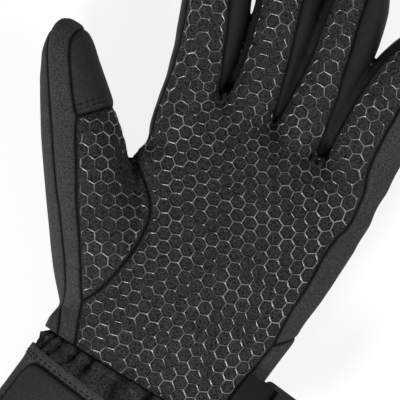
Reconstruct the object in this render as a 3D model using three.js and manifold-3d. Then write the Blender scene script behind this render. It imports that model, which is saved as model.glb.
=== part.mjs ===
// A heated winter glove for the left hand, lying on its back with the palm up.
// Lengths are millimetres. X runs to the little finger's side, Y to the fingertips, Z up.
import * as THREE from 'three';
import { mergeVertices } from 'three/addons/utils/BufferGeometryUtils.js';
import Module from 'manifold-3d';

const wasm = await Module();
wasm.setup();

// Driving sizes of the hand part
const PALM_WIDTH = 97.5;
const PALM_LENGTH = 122;
const PALM_THICKNESS = 37;
const WALL = 3.2;
const SEAM_GAP = 0.3;
const PALM_HEM_TURN = -3;

// Driving sizes of the fingers and the thumb
const INDEX_LENGTH = 80;
const INDEX_WIDTH = 28.2;
const MIDDLE_LENGTH = 88;
const MIDDLE_WIDTH = 27;
const RING_LENGTH = 82;
const RING_WIDTH = 28.8;
const LITTLE_LENGTH = 71;
const LITTLE_WIDTH = 28.5;
const FINGER_THICKNESS = 26;
const FINGER_HEIGHT = 16;
const FINGER_CURL = 9;
const THUMB_LENGTH = 109.3;
const THUMB_WIDTH = 27.6;
const THUMB_THICKNESS = 27;
const THUMB_TURN = 39.5;
const THUMB_HEIGHT = 19;
const THUMB_CURL = 4;
const CAP_PROUD = 0.8;

// Driving sizes of the wrist band and the cuff
const BAND_LENGTH = 17;
const BAND_WALL = 1.6;
const PLEAT_DEPTH = 1.1;
const PLEATS = 32;
const CUFF_WIDTH = 97.5;
const CUFF_THICKNESS = 46;
const CUFF_LENGTH = 74;
const CUFF_WALL = 2.4;
const CUFF_TURN = -8.5;
const CUFF_DROP = 11.6;
const RIM_HEIGHT = 5.6;
const RIM_PROUD = 0.6;
const CUFF_BORDER = 3.2;
const CUFF_CORNER = 3.5;
const CUFF_HEM_HEIGHT = 8;

// Driving sizes of the wrist strap and its buckle
const STRAP_WIDTH = 25;
const STRAP_THICKNESS = 1.5;
const STRAP_CLEARANCE = 0.35;
const BUCKLE_MARGIN = 1.8;
const BUCKLE_THICKNESS = 2.6;
const BUCKLE_CORNER = 2.5;
const INNER_BAR = 2.4;
const TAB_SLOT = 4.6;
const MIDDLE_BAR = 6.5;
const STRAP_SLOT = 3;
const OUTER_BAR = 2.8;
const SLOT_CORNER = 0.8;

// Facets round each form
const PALM_SIDES = 24;
const PALM_INNER_SIDES = 16;
const FINGER_SIDES = 16;
const FINGER_INNER_SIDES = 8;
const THUMB_SIDES = 16;
const THUMB_INNER_SIDES = 12;
const BAND_INNER_SIDES = 16;
const CUFF_SIDES = 24;

// Squareness of each form's section: 2 is an ellipse
const PALM_SQUARE = 2.5;
const FINGER_SQUARE = 2.15;
const THUMB_SQUARE = 2.2;
const BAND_SQUARE = 2.4;
const CUFF_SQUARE = 2.3;

const radians = THREE.MathUtils.degToRad;

// Turn a closed geometry into a solid that can be joined and cut.
function solid(geometry) {
  const bare = geometry.clone();
  bare.deleteAttribute('normal');
  bare.deleteAttribute('uv');
  const merged = mergeVertices(bare, 1e-4);
  return new wasm.Manifold(new wasm.Mesh({
    numProp: 3,
    vertProperties: new Float32Array(merged.attributes.position.array),
    triVerts: new Uint32Array(merged.index.array),
  }));
}

function geometryOf(body) {
  const mesh = body.getMesh();
  const geometry = new THREE.BufferGeometry();
  geometry.setAttribute('position', new THREE.Float32BufferAttribute(mesh.vertProperties, 3));
  geometry.setIndex(new THREE.Uint32BufferAttribute(mesh.triVerts, 1));
  geometry.computeVertexNormals();
  return geometry;
}

// Read the named columns of a table at a share of the way, on a smooth curve through its rows.
function tableAt(rows, share, column) {
  const last = rows.length - 1;
  let low = 0;
  while (low < last - 1 && rows[low + 1].at < share) low += 1;
  const step = (share - rows[low].at) / (rows[low + 1].at - rows[low].at);
  const points = rows.map((row, index) => new THREE.Vector2(index, row[column]));
  return new THREE.SplineCurve(points).getPoint((low + THREE.MathUtils.clamp(step, 0, 1)) / last).y;
}

// A closed tube: a cylinder whose rings are moved to the sections of a body.
// Each section has a centre, the unit vectors across and up, half sizes and a squareness.
function tube(sections, sides) {
  const rings = sections.length - 1;
  const geometry = new THREE.CylinderGeometry(1, 1, 1, sides, rings);
  const places = geometry.attributes.position;
  for (let i = 0; i < places.count; i += 1) {
    const section = sections[Math.round((places.getY(i) + 0.5) * rings)];
    const flat = new THREE.Vector2(places.getX(i), places.getZ(i));
    const reach = flat.length() < 0.5 ? 0 : 1;
    const power = 2 / section.square;
    const across = reach * Math.sign(flat.x) * Math.abs(flat.x) ** power;
    const up = reach * Math.sign(flat.y) * Math.abs(flat.y) ** power;
    const wave = Math.cos(PLEATS * Math.atan2(flat.x, flat.y));
    const ruffle = section.ruffle ? 1 + section.ruffle * wave : 1;
    const place = section.centre.clone()
      .addScaledVector(section.across, across * section.halfWidth * ruffle)
      .addScaledVector(section.up, up * section.halfHeight * ruffle);
    places.setXYZ(i, place.x, place.y, place.z);
  }
  return solid(geometry);
}

// An upright prism over an outline of [x, y, floor] points, up to the height `top`.
function prism(outline, top) {
  const shape = new THREE.Shape(outline.map(([x, y]) => new THREE.Vector2(x, y)));
  const geometry = new THREE.ExtrudeGeometry(shape, { depth: 1, bevelEnabled: false });
  const places = geometry.attributes.position;
  for (let i = 0; i < places.count; i += 1) {
    const x = places.getX(i);
    const y = places.getY(i);
    const point = outline.find((corner) => Math.hypot(corner[0] - x, corner[1] - y) < 1e-3);
    places.setZ(i, places.getZ(i) < 0.5 ? point[2] : top);
  }
  return solid(geometry);
}

// Heights above and below the whole glove.
const TOP = 120;
const BELOW = -20;

// Points of the palm's own frame, as shares of its width and length.
const palmPoint = (x, y) => [x * PALM_WIDTH, y * PALM_LENGTH];

// The palm from the wrist to the finger roots: shares of the palm's length, width and thickness.
const PALM_ROWS = [
  { at: -0.08, left: -0.500, right: 0.385, bottom: 0.06, top: 1.00, slant: 0 },
  { at: 0.00, left: -0.500, right: 0.390, bottom: 0.06, top: 1.01, slant: 0 },
  { at: 0.10, left: -0.488, right: 0.402, bottom: 0.055, top: 1.02, slant: 0 },
  { at: 0.22, left: -0.475, right: 0.418, bottom: 0.05, top: 1.03, slant: 0 },
  { at: 0.36, left: -0.465, right: 0.441, bottom: 0.062, top: 1.02, slant: 0 },
  { at: 0.44, left: -0.460, right: 0.456, bottom: 0.00, top: 1.01, slant: 0 },
  { at: 0.52, left: -0.460, right: 0.472, bottom: -0.05, top: 1.00, slant: 0 },
  { at: 0.68, left: -0.485, right: 0.497, bottom: -0.05, top: 0.95, slant: 0 },
  { at: 0.80, left: -0.505, right: 0.503, bottom: -0.04, top: 0.885, slant: -1.5 },
  { at: 0.89, left: -0.520, right: 0.510, bottom: -0.02, top: 0.83, slant: -3 },
  { at: 0.945, left: -0.515, right: 0.490, bottom: 0.05, top: 0.78, slant: -4 },
  { at: 0.978, left: -0.480, right: 0.455, bottom: 0.18, top: 0.70, slant: -5 },
  { at: 0.990, left: -0.400, right: 0.370, bottom: 0.32, top: 0.58, slant: -5 },
];
const PALM_RINGS = [-0.07, 0.05, 0.2, 0.4, 0.6, 0.76, 0.88, 0.945, 0.985];

function palmTube(wall) {
  const sections = [];
  for (const at of PALM_RINGS) {
    const [left, right, bottom, top, slant] = ['left', 'right', 'bottom', 'top', 'slant']
      .map((column) => tableAt(PALM_ROWS, at, column));
    const turn = radians(slant);
    sections.push({
      centre: new THREE.Vector3((left + right) / 2 * PALM_WIDTH, at * PALM_LENGTH - wall * (at > 0.5),
        (bottom + top) / 2 * PALM_THICKNESS),
      across: new THREE.Vector3(Math.cos(turn), Math.sin(turn), 0),
      up: new THREE.Vector3(0, 0, 1),
      halfWidth: (right - left) / 2 * PALM_WIDTH - wall,
      halfHeight: (top - bottom) / 2 * PALM_THICKNESS - wall,
      square: PALM_SQUARE,
    });
  }
  return tube(sections, wall > 0 ? PALM_INNER_SIDES : PALM_SIDES);
}

// The fingers: root as shares of the palm, lean at the root and past the first bend in degrees.
const FINGERS = [
  {
    name: 'index', length: INDEX_LENGTH, width: INDEX_WIDTH,
    root: [-0.437, 0.985], lean: 5, bend: 16, bendBy: 0.48,
  },
  {
    name: 'middle', length: MIDDLE_LENGTH, width: MIDDLE_WIDTH,
    root: [-0.178, 0.992], lean: 1, bend: 14, bendBy: 0.62,
  },
  {
    name: 'ring', length: RING_LENGTH, width: RING_WIDTH,
    root: [0.057, 0.988], lean: -3, bend: 15, bendBy: 0.9,
  },
  {
    name: 'little', length: LITTLE_LENGTH, width: LITTLE_WIDTH,
    root: [0.336, 0.950], lean: 1, bend: -6, bendBy: 0.9,
  },
];

// Widths of each finger and the common thickness, as shares of the full ones.
const FINGER_ROWS = [
  { at: -0.30, index: 0.78, middle: 0.80, ring: 0.76, little: 0.90, thick: 0.96 },
  { at: 0.00, index: 0.84, middle: 0.85, ring: 0.805, little: 1.05, thick: 1.00 },
  { at: 0.15, index: 0.905, middle: 0.885, ring: 0.82, little: 1.13, thick: 1.00 },
  { at: 0.30, index: 0.98, middle: 0.94, ring: 0.845, little: 1.14, thick: 0.99 },
  { at: 0.45, index: 1.00, middle: 0.985, ring: 0.875, little: 1.10, thick: 0.98 },
  { at: 0.60, index: 0.985, middle: 1.00, ring: 0.91, little: 1.04, thick: 0.96 },
  { at: 0.74, index: 0.93, middle: 0.96, ring: 0.90, little: 0.95, thick: 0.92 },
  { at: 0.86, index: 0.80, middle: 0.83, ring: 0.79, little: 0.79, thick: 0.80 },
  { at: 0.94, index: 0.60, middle: 0.62, ring: 0.60, little: 0.58, thick: 0.62 },
  { at: 0.985, index: 0.34, middle: 0.34, ring: 0.34, little: 0.32, thick: 0.36 },
  { at: 1.00, index: 0.06, middle: 0.06, ring: 0.06, little: 0.06, thick: 0.06 },
];
const FINGER_RINGS = [-0.3, 0, 0.2, 0.4, 0.6, 0.76, 0.88, 0.96, 1];
const FINGER_INNER_RINGS = [-0.3, 0, 0.3, 0.6, 0.85, 1];

// Walk along a finger's middle line and give the section at a share of its length.
function fingerSection(finger, share, inset) {
  const steps = 20;
  const reach = share * (finger.length - inset);
  const place = new THREE.Vector2(...palmPoint(...finger.root));
  let turn = 0;
  for (let i = 0; i < steps; i += 1) {
    const walked = (i + 0.5) / steps * share;
    turn = radians(finger.lean + finger.bend * THREE.MathUtils.smoothstep(walked, 0, finger.bendBy));
    place.x -= Math.sin(turn) * reach / steps;
    place.y += Math.cos(turn) * reach / steps;
  }
  return {
    centre: new THREE.Vector3(place.x, place.y, FINGER_HEIGHT + FINGER_CURL * Math.max(share, 0) ** 1.6),
    across: new THREE.Vector3(Math.cos(turn), Math.sin(turn), 0),
    up: new THREE.Vector3(0, 0, 1),
    halfWidth: (finger.width / 2 - inset) * tableAt(FINGER_ROWS, share, finger.name),
    halfHeight: (FINGER_THICKNESS / 2 - inset) * tableAt(FINGER_ROWS, share, 'thick'),
    square: FINGER_SQUARE,
  };
}

function fingerTube(finger, inset) {
  const rings = inset > 0 ? FINGER_INNER_RINGS : FINGER_RINGS;
  const sides = inset > 0 ? FINGER_INNER_SIDES : FINGER_SIDES;
  return tube(rings.map((share) => fingerSection(finger, share, inset)), sides);
}

// The thumb: edges as shares of its width from its middle line, at shares of its length.
const THUMB_ROWS = [
  { at: -0.16, left: -0.74, right: 0.55, thick: 1.10 },
  { at: -0.05, left: -0.82, right: 0.70, thick: 1.22 },
  { at: 0.06, left: -0.82, right: 0.74, thick: 1.27 },
  { at: 0.17, left: -0.785, right: 0.74, thick: 1.27 },
  { at: 0.30, left: -0.745, right: 0.70, thick: 1.20 },
  { at: 0.43, left: -0.67, right: 0.61, thick: 1.11 },
  { at: 0.557, left: -0.597, right: 0.565, thick: 1.04 },
  { at: 0.70, left: -0.510, right: 0.495, thick: 0.96 },
  { at: 0.80, left: -0.445, right: 0.435, thick: 0.88 },
  { at: 0.89, left: -0.335, right: 0.392, thick: 0.74 },
  { at: 0.95, left: -0.205, right: 0.305, thick: 0.54 },
  { at: 0.985, left: -0.07, right: 0.185, thick: 0.30 },
  { at: 1.00, left: 0.02, right: 0.08, thick: 0.06 },
];
const THUMB_RINGS = THUMB_ROWS.map((row) => row.at);
const THUMB_INNER_RINGS = [-0.16, 0.06, 0.3, 0.557, 0.8, 0.95, 1];
const THUMB_ROOT = [-0.371, 0.287];

// Points of the thumb's frame: shares of its length and width from its root.
function thumbPoint(at, side, length = THUMB_LENGTH) {
  const [x, y] = palmPoint(...THUMB_ROOT);
  const turn = radians(THUMB_TURN);
  return [
    x - Math.sin(turn) * at * length + Math.cos(turn) * side * THUMB_WIDTH,
    y + Math.cos(turn) * at * length + Math.sin(turn) * side * THUMB_WIDTH,
  ];
}

const thumbHeight = (at) => THUMB_HEIGHT + THUMB_CURL * at;

// How far along the thumb a point seen from above lies, as a share of its length.
function alongThumb(x, y) {
  const [rootX, rootY] = palmPoint(...THUMB_ROOT);
  const turn = radians(THUMB_TURN);
  return ((rootX - x) * Math.sin(turn) + (y - rootY) * Math.cos(turn)) / THUMB_LENGTH;
}

function thumbTube(inset) {
  const turn = radians(THUMB_TURN);
  const rings = inset > 0 ? THUMB_INNER_RINGS : THUMB_RINGS;
  return tube(rings.map((at) => {
    const left = tableAt(THUMB_ROWS, at, 'left');
    const right = tableAt(THUMB_ROWS, at, 'right');
    const [x, y] = thumbPoint(at, (left + right) / 2, THUMB_LENGTH - inset);
    const narrow = 1 - 2 * inset / THUMB_WIDTH;
    return {
      centre: new THREE.Vector3(x, y, thumbHeight(at)),
      across: new THREE.Vector3(Math.cos(turn), Math.sin(turn), 0),
      up: new THREE.Vector3(0, 0, 1),
      halfWidth: (right - left) / 2 * THUMB_WIDTH * narrow,
      halfHeight: (THUMB_THICKNESS / 2 - inset) * tableAt(THUMB_ROWS, at, 'thick'),
      square: THUMB_SQUARE,
    };
  }), inset > 0 ? THUMB_INNER_SIDES : THUMB_SIDES);
}

// The hand part as one hollow wall, flat where it rests and open at the wrist.
function slab(low, high) {
  const side = 600;
  const geometry = new THREE.BoxGeometry(side, side, high - low);
  geometry.translate(0, 0, (low + high) / 2);
  return solid(geometry);
}

function handForm(inset) {
  return [palmTube(inset), ...FINGERS.map((finger) => fingerTube(finger, inset)), thumbTube(inset)]
    .reduce((body, next) => body.add(next))
    .intersect(slab(inset, TOP));
}

// Everything on the wrist's side of a slanted line across the hand, from `far` below up to the line.
function belowLine(offset, turnDegrees, far) {
  const geometry = new THREE.BoxGeometry(400, far, 300);
  geometry.translate(0, -far / 2 + offset, 0);
  geometry.rotateZ(radians(turnDegrees));
  return solid(geometry);
}

const outer = handForm(0);
const inner = handForm(WALL);
const wristCut = belowLine(0, PALM_HEM_TURN, 60);
const shell = outer.subtract(inner).subtract(wristCut);

// Seams seen from above. Thumb seams are [share along, share across] of the thumb.
const GUSSET_INNER = [[0.965, 0.420], [0.958, 0.300], [0.935, 0.165], [0.879, 0.089], [0.821, 0.048],
  [0.705, 0.0], [0.617, -0.029], [0.475, -0.139], [0.307, -0.271], [0.113, -0.369], [-0.078, -0.513]];
const GUSSET_OUTER = [[0.985, -0.090], [0.919, -0.231], [0.838, -0.296], [0.743, -0.354], [0.644, -0.392],
  [0.523, -0.451], [0.403, -0.520], [0.223, -0.574], [0.125, -0.605], [0.005, -0.682]];
const THUMB_BASE = [[-0.045, -0.172], [0.044, 0.292], [0.102, 0.531], [0.170, 0.748], [0.201, 0.812],
  [0.289, 0.836], [0.369, 0.778], [0.426, 0.669]];
const PALM_INNER_LOW = [[-0.407, 0.119], [-0.370, 0.041], [-0.350, -0.08]];
const PALM_OUTER_LOW = [[-0.501, 0.153], [-0.480, 0.112], [-0.449, 0.051], [-0.430, -0.08]];
const PALM_RIGHT = [[0.300, -0.08], [0.322, 0.134], [0.350, 0.223], [0.375, 0.342], [0.376, 0.462],
  [0.392, 0.577], [0.391, 0.680], [0.404, 0.789], [0.414, 0.900], [0.420, 0.960]];
const SIDE_CROSS = [[0.364, 0.318], [0.560, 0.500]];
const CAP_HEM = [[0.618, -0.30], [0.640, 0.90]];

// The heights where the back panel's seam runs, as shares of each form's thickness.
const PALM_BACK_SEAM = 0.30;
const FINGER_BACK_SEAM = 0.22;
const THUMB_BACK_SEAM = 0.14;
const GUSSET_SEAM = 0.10;

const onThumb = ([at, side], floor) => [...thumbPoint(at, side), floor];
const onPalm = ([x, y], floor) => [...palmPoint(x, y), floor];
const palmLevel = (share) => share * PALM_THICKNESS;

// Points of a thumb seam, on a level that rises with the thumb and lies below its middle.
function thumbSeam(points, share, place = thumbPoint) {
  return points.map((point) => {
    const [x, y] = place(...point);
    return [x, y, thumbHeight(alongThumb(x, y)) - share * THUMB_THICKNESS];
  });
}
const fingerBack = (section) => section.centre.z - FINGER_BACK_SEAM * FINGER_THICKNESS;

// Grow an outline outward by a distance, so that neighbours keep a gap at their seams.
function grown(outline, distance) {
  const area = outline.reduce((sum, [x, y], i) => {
    const [nextX, nextY] = outline[(i + 1) % outline.length];
    return sum + x * nextY - nextX * y;
  }, 0);
  const way = Math.sign(area);
  return outline.map(([x, y, floor], i) => {
    const before = outline[(i + outline.length - 1) % outline.length];
    const after = outline[(i + 1) % outline.length];
    const into = new THREE.Vector2(x - before[0], y - before[1]).normalize();
    const out = new THREE.Vector2(after[0] - x, after[1] - y).normalize();
    const normal = new THREE.Vector2((into.y + out.y) * way, -(into.x + out.x) * way).normalize();
    const stretch = distance / Math.max(0.4, Math.abs(normal.x * out.y - normal.y * out.x));
    return [x + normal.x * stretch, y + normal.y * stretch, floor - distance];
  });
}

// The front of a finger: a fan about its middle line, between two angles from straight up.
const FRONT_LEFT = 58;
const FRONT_ROWS = [
  { at: -0.30, index: 60, middle: 60, ring: 60, little: 42 },
  { at: 0.00, index: 50, middle: 50, ring: 50, little: 24 },
  { at: 0.12, index: 38, middle: 40, ring: 38, little: 20 },
  { at: 0.30, index: 27, middle: 28, ring: 24, little: 20 },
  { at: 0.55, index: 24, middle: 24, ring: 12, little: 20 },
  { at: 0.86, index: 24, middle: 24, ring: 14, little: 22 },
  { at: 0.97, index: 24, middle: 24, ring: 18, little: 24 },
];
const FRONT_RINGS = [-0.28, 0.0, 0.2, 0.4, 0.6, 0.8, 0.94];
const FRONT_END = 0.94;

function fingerFront(finger, gap) {
  const fan = 3;
  const sections = FRONT_RINGS.map((share) => {
    const last = share === FRONT_END;
    const section = fingerSection(finger, share + (last ? gap / finger.length : 0), 0);
    const slack = THREE.MathUtils.radToDeg(gap / section.halfWidth);
    const close = last ? 0.55 : 1;
    return {
      ...section,
      from: -FRONT_LEFT * close - slack,
      to: tableAt(FRONT_ROWS, share, finger.name) * close + slack,
    };
  });
  const geometry = new THREE.CylinderGeometry(1, 1, 1, fan + 1, sections.length - 1);
  const places = geometry.attributes.position;
  for (let i = 0; i < places.count; i += 1) {
    const section = sections[Math.round((places.getY(i) + 0.5) * (sections.length - 1))];
    const flat = new THREE.Vector2(places.getX(i), places.getZ(i));
    const turn = Math.atan2(flat.x, flat.y);
    const spoke = (Math.round(turn / (2 * Math.PI) * (fan + 1)) + fan + 1) % (fan + 1);
    const centre = flat.length() < 0.5;
    const apex = !centre && spoke === 0;
    const angle = radians(THREE.MathUtils.lerp(section.from, section.to, (spoke - 1) / (fan - 1)));
    const reach = apex ? 0 : finger.width * (centre ? 0.45 : 0.9);
    const aim = centre ? radians((section.from + section.to) / 2) : angle;
    const place = section.centre.clone()
      .addScaledVector(section.across, Math.sin(aim) * reach)
      .addScaledVector(section.up, Math.cos(aim) * reach - (apex ? gap : 0));
    places.setXYZ(i, place.x, place.y, place.z);
  }
  return solid(geometry);
}

// The palm's front from the wrist to the crotches, with the fingers' fronts.
function palmFront(gap) {
  const floor = palmLevel(0.5);
  const [index, middle, ring, little] = FINGERS;
  const rootOf = (finger, sideShare, at) => {
    const section = fingerSection(finger, at, 0);
    const point = section.centre.clone().addScaledVector(section.across, sideShare * section.halfWidth);
    return [point.x, point.y, floor];
  };
  const outline = [
    ...PALM_RIGHT.map((point) => onPalm(point, floor)),
    rootOf(little, 0.2, 0.06),
    rootOf(little, -0.75, 0.03),
    rootOf(ring, 0.72, 0.0),
    rootOf(ring, -0.8, 0.02),
    rootOf(middle, 0.72, 0.0),
    rootOf(middle, -0.8, 0.02),
    rootOf(index, 0.72, 0.0),
    rootOf(index, -0.8, 0.03),
    onPalm([-0.500, 0.84], floor),
    onPalm([-0.492, 0.75], floor),
    ...THUMB_BASE.toReversed().map((point) => onThumb(point, floor)),
    onThumb(GUSSET_INNER.at(-1), floor),
    ...PALM_INNER_LOW.map((point) => onPalm(point, floor)),
  ];
  const front = prism(grown(outline, gap), TOP);
  return FINGERS.reduce((body, finger) => body.add(fingerFront(finger, gap)), front);
}

function thumbFront(gap) {
  return prism(grown(thumbSeam([
    ...GUSSET_INNER, ...THUMB_BASE, [0.46, 0.80], [0.70, 0.90], [0.95, 0.80],
  ], THUMB_BACK_SEAM), gap), TOP);
}

function gussetTool(gap) {
  return prism(grown([
    ...thumbSeam(GUSSET_OUTER, GUSSET_SEAM),
    ...thumbSeam(PALM_OUTER_LOW, GUSSET_SEAM, palmPoint),
    ...thumbSeam(PALM_INNER_LOW.toReversed(), GUSSET_SEAM, palmPoint),
    ...thumbSeam(GUSSET_INNER.toReversed(), GUSSET_SEAM),
    ...thumbSeam([[1.06, 0.40], [1.06, -0.10]], GUSSET_SEAM),
  ], gap), TOP);
}

function capTool(gap) {
  const hem = CAP_HEM.map((point) => onThumb(point, 0));
  const outline = [...hem, onThumb([1.2, 0.9], 0), onThumb([1.2, -0.5], 0)];
  return prism(grown(outline, gap), TOP);
}

// A side strip between the middle lines of two fingers, or outside the first or the last.
// Its floor follows the fingers' back seams.
const ZONE_SHARES = [-0.2, 0, 0.2, 0.4, 0.6, 0.8, 1.02, 1.2];
function sideZone(leftFinger, rightFinger, gap) {
  const trace = (finger, away) => ZONE_SHARES.map((share) => {
    const section = fingerSection(finger, share, 0);
    const point = section.centre.clone().addScaledVector(section.across, away * finger.width);
    return [point.x, point.y, fingerBack(section)];
  });
  const left = leftFinger ? trace(leftFinger, 0) : trace(rightFinger, -0.8);
  const right = rightFinger ? trace(rightFinger, 0) : trace(leftFinger, 0.8);
  const rows = ZONE_SHARES.length - 1;
  const geometry = new THREE.BoxGeometry(1, 1, 1, 1, rows, 1);
  const places = geometry.attributes.position;
  for (let i = 0; i < places.count; i += 1) {
    const row = Math.round((places.getY(i) + 0.5) * rows);
    const onRight = places.getX(i) > 0;
    const [x, y, floor] = (onRight ? right : left)[row];
    const end = row === 0 ? -gap : 0;
    places.setXYZ(i, x + (onRight ? gap : -gap), y + end, places.getZ(i) > 0 ? TOP : floor - gap);
  }
  return solid(geometry);
}

// The sides of the palm below the outer fingers.
function indexSideTool(gap) {
  const level = palmLevel(PALM_BACK_SEAM);
  const low = prism(grown([
    onPalm([-0.60, 0.715], level), onPalm([-0.40, 0.715], level),
    onPalm([-0.40, 1.02], level), onPalm([-0.70, 1.02], level),
  ], gap), TOP);
  return low.add(sideZone(null, FINGERS[0], gap));
}

function outerSideTool(gap) {
  const level = palmLevel(PALM_BACK_SEAM);
  const low = prism(grown([
    onPalm([0.05, -0.2], level), onPalm([0.75, -0.2], level),
    onPalm([0.75, 1.0], level), onPalm([0.338, 1.0], level), onPalm([0.20, 0.80], level),
  ], gap), TOP);
  return low.add(sideZone(FINGERS[3], null, gap));
}

function crossTool(gap) {
  const outline = [[0.20, 0.160], ...SIDE_CROSS, [0.75, 0.50], [0.75, -0.2], [0.20, -0.2]];
  return prism(grown(outline.map((point) => onPalm(point, BELOW)), gap), TOP);
}

const gap = SEAM_GAP;
const capOuter = thumbTube(-CAP_PROUD).intersect(slab(0, TOP));
const palmGrown = palmFront(gap);
const thumbGrown = thumbFront(gap);
const gussetGrown = gussetTool(gap);
const fingerSides = [
  ['index_side', indexSideTool],
  ['fourchette_index_middle', (space) => sideZone(FINGERS[0], FINGERS[1], space)],
  ['fourchette_middle_ring', (space) => sideZone(FINGERS[1], FINGERS[2], space)],
  ['fourchette_ring_little', (space) => sideZone(FINGERS[2], FINGERS[3], space)],
  ['outer_side_panel', outerSideTool],
];

const pieces = {};
pieces.palm_panel = shell.intersect(palmFront(0));
const thumbRegion = shell.intersect(thumbFront(0)).subtract(palmGrown);
pieces.thumb_panel = thumbRegion.subtract(capTool(gap));
pieces.thumb_cap = capOuter.subtract(inner).intersect(thumbFront(0)).intersect(capTool(0));
pieces.thumb_gusset = shell.intersect(gussetTool(0)).subtract(palmGrown).subtract(thumbGrown);
let rest = shell.subtract(palmGrown).subtract(thumbGrown).subtract(gussetGrown);
for (const [name, tool] of fingerSides) {
  pieces[name] = rest.intersect(tool(0));
  rest = rest.subtract(tool(gap));
}
pieces.back_panel = rest;
pieces.wrist_side = pieces.outer_side_panel.intersect(crossTool(0));
pieces.outer_side_panel = pieces.outer_side_panel.subtract(crossTool(gap));

// The gathered band: a ruffled tube from the palm's edge into the cuff.
const BAND_ROWS = [
  { down: 0, ruffle: 0.4, grow: -0.6 },
  { down: 0.14, ruffle: 1, grow: -1.6 },
  { down: 0.38, ruffle: 1, grow: -2.1 },
  { down: 0.68, ruffle: 0.5, grow: -1.5 },
  { down: 1, ruffle: 0, grow: -0.9 },
];

// Where the cuff's rim has its middle, in the palm's frame.
const CUFF_MIDDLE = new THREE.Vector3(-0.032 * PALM_WIDTH, -CUFF_DROP, CUFF_THICKNESS / 2);
const cuffAcross = new THREE.Vector3(Math.cos(radians(CUFF_TURN)), Math.sin(radians(CUFF_TURN)), 0);
const cuffDown = new THREE.Vector3(Math.sin(radians(CUFF_TURN)), -Math.cos(radians(CUFF_TURN)), 0);
const cuffPoint = (side, down) => CUFF_MIDDLE.clone()
  .addScaledVector(cuffAcross, side).addScaledVector(cuffDown, down);

const wristRow = (column) => tableAt(PALM_ROWS, 0, column);
const WRIST_MIDDLE = new THREE.Vector3((wristRow('left') + wristRow('right')) / 2 * PALM_WIDTH, 0,
  (wristRow('bottom') + wristRow('top')) / 2 * PALM_THICKNESS);
const WRIST_HALF_WIDTH = (wristRow('right') - wristRow('left')) / 2 * PALM_WIDTH;
const WRIST_HALF_HEIGHT = (wristRow('top') - wristRow('bottom')) / 2 * PALM_THICKNESS;
const BAND_SIDES = 2 * PLEATS;

function bandSection(down, grow, ruffle) {
  const turn = radians(THREE.MathUtils.lerp(PALM_HEM_TURN, CUFF_TURN, down));
  const bandEnd = cuffPoint(0, BAND_LENGTH - CUFF_DROP - SEAM_GAP);
  const bandStart = WRIST_MIDDLE.clone();
  bandStart.y = WRIST_MIDDLE.x * Math.tan(radians(PALM_HEM_TURN)) - SEAM_GAP;
  const halfWidth = THREE.MathUtils.lerp(WRIST_HALF_WIDTH,
    CUFF_WIDTH / 2 - RIM_PROUD - CUFF_WALL - SEAM_GAP, THREE.MathUtils.smoothstep(down, 0, 1));
  const halfHeight = THREE.MathUtils.lerp(WRIST_HALF_HEIGHT,
    CUFF_THICKNESS / 2 - RIM_PROUD - CUFF_WALL - SEAM_GAP, THREE.MathUtils.smoothstep(down, 0, 1));
  return {
    centre: bandStart.lerp(bandEnd, down),
    across: new THREE.Vector3(Math.cos(turn), Math.sin(turn), 0),
    up: new THREE.Vector3(0, 0, 1),
    halfWidth: halfWidth + grow,
    halfHeight: halfHeight + grow,
    square: BAND_SQUARE,
    ruffle: ruffle * PLEAT_DEPTH / halfWidth,
  };
}

function wristBand() {
  const outside = BAND_ROWS.map(({ down, ruffle, grow }) =>
    bandSection(down, grow - PLEAT_DEPTH * ruffle, ruffle));
  const inside = [-0.1, 0.14, 0.4, 0.7, 1.1].map((down) =>
    bandSection(down, -BAND_WALL - 2 * PLEAT_DEPTH * (down < 0.8), 0));
  return tube(outside.toReversed(), BAND_SIDES).subtract(tube(inside.toReversed(), BAND_INNER_SIDES));
}

// The cuff: a straight tube with a padded rim, a panel set into its front and a hem at its mouth.
function cuffTube(inset) {
  const rows = inset > 0
    ? [[-5, 0], [CUFF_LENGTH + 5, 0]]
    : [[0, -0.5], [1, RIM_PROUD], [RIM_HEIGHT - 0.8, RIM_PROUD], [RIM_HEIGHT, 0], [CUFF_LENGTH * 0.5, 0],
      [CUFF_LENGTH - CUFF_HEM_HEIGHT, 0], [CUFF_LENGTH - CUFF_HEM_HEIGHT + 1, 0.5], [CUFF_LENGTH, 0.2]];
  return tube(rows.map(([down, swell]) => ({
    centre: cuffPoint(0, down),
    across: cuffAcross,
    up: new THREE.Vector3(0, 0, 1),
    halfWidth: CUFF_WIDTH / 2 - RIM_PROUD - inset + swell,
    halfHeight: CUFF_THICKNESS / 2 - RIM_PROUD - inset + swell,
    square: CUFF_SQUARE,
  })).toReversed(), CUFF_SIDES);
}

function cuffFrontTool(gap) {
  const side = CUFF_WIDTH / 2 - CUFF_BORDER;
  const low = CUFF_LENGTH - CUFF_HEM_HEIGHT + 2;
  const corner = (turnFrom, x, down) => [0, 0.5, 1].map((step) => {
    const turn = radians(turnFrom + 90 * step);
    const point = cuffPoint(x + CUFF_CORNER * Math.cos(turn), down - CUFF_CORNER * Math.sin(turn));
    return [point.x, point.y, CUFF_THICKNESS / 2];
  });
  const square = (x) => {
    const point = cuffPoint(x, low);
    return [point.x, point.y, CUFF_THICKNESS / 2];
  };
  return prism(grown([
    ...corner(0, side - CUFF_CORNER, RIM_HEIGHT + CUFF_CORNER),
    ...corner(90, -side + CUFF_CORNER, RIM_HEIGHT + CUFF_CORNER),
    square(-side), square(side),
  ], gap), TOP);
}

// The part of space below the hem's upper edge, grown by a gap.
function cuffHemTool(gap) {
  const edge = (x, down) => {
    const point = cuffPoint(x, down);
    return [point.x, point.y, BELOW];
  };
  const start = CUFF_LENGTH - CUFF_HEM_HEIGHT;
  const past = CUFF_LENGTH + 20;
  const side = CUFF_WIDTH;
  const outline = [edge(side, start), edge(-side, start), edge(-side, past), edge(side, past)];
  return prism(grown(outline, gap), TOP);
}

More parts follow.
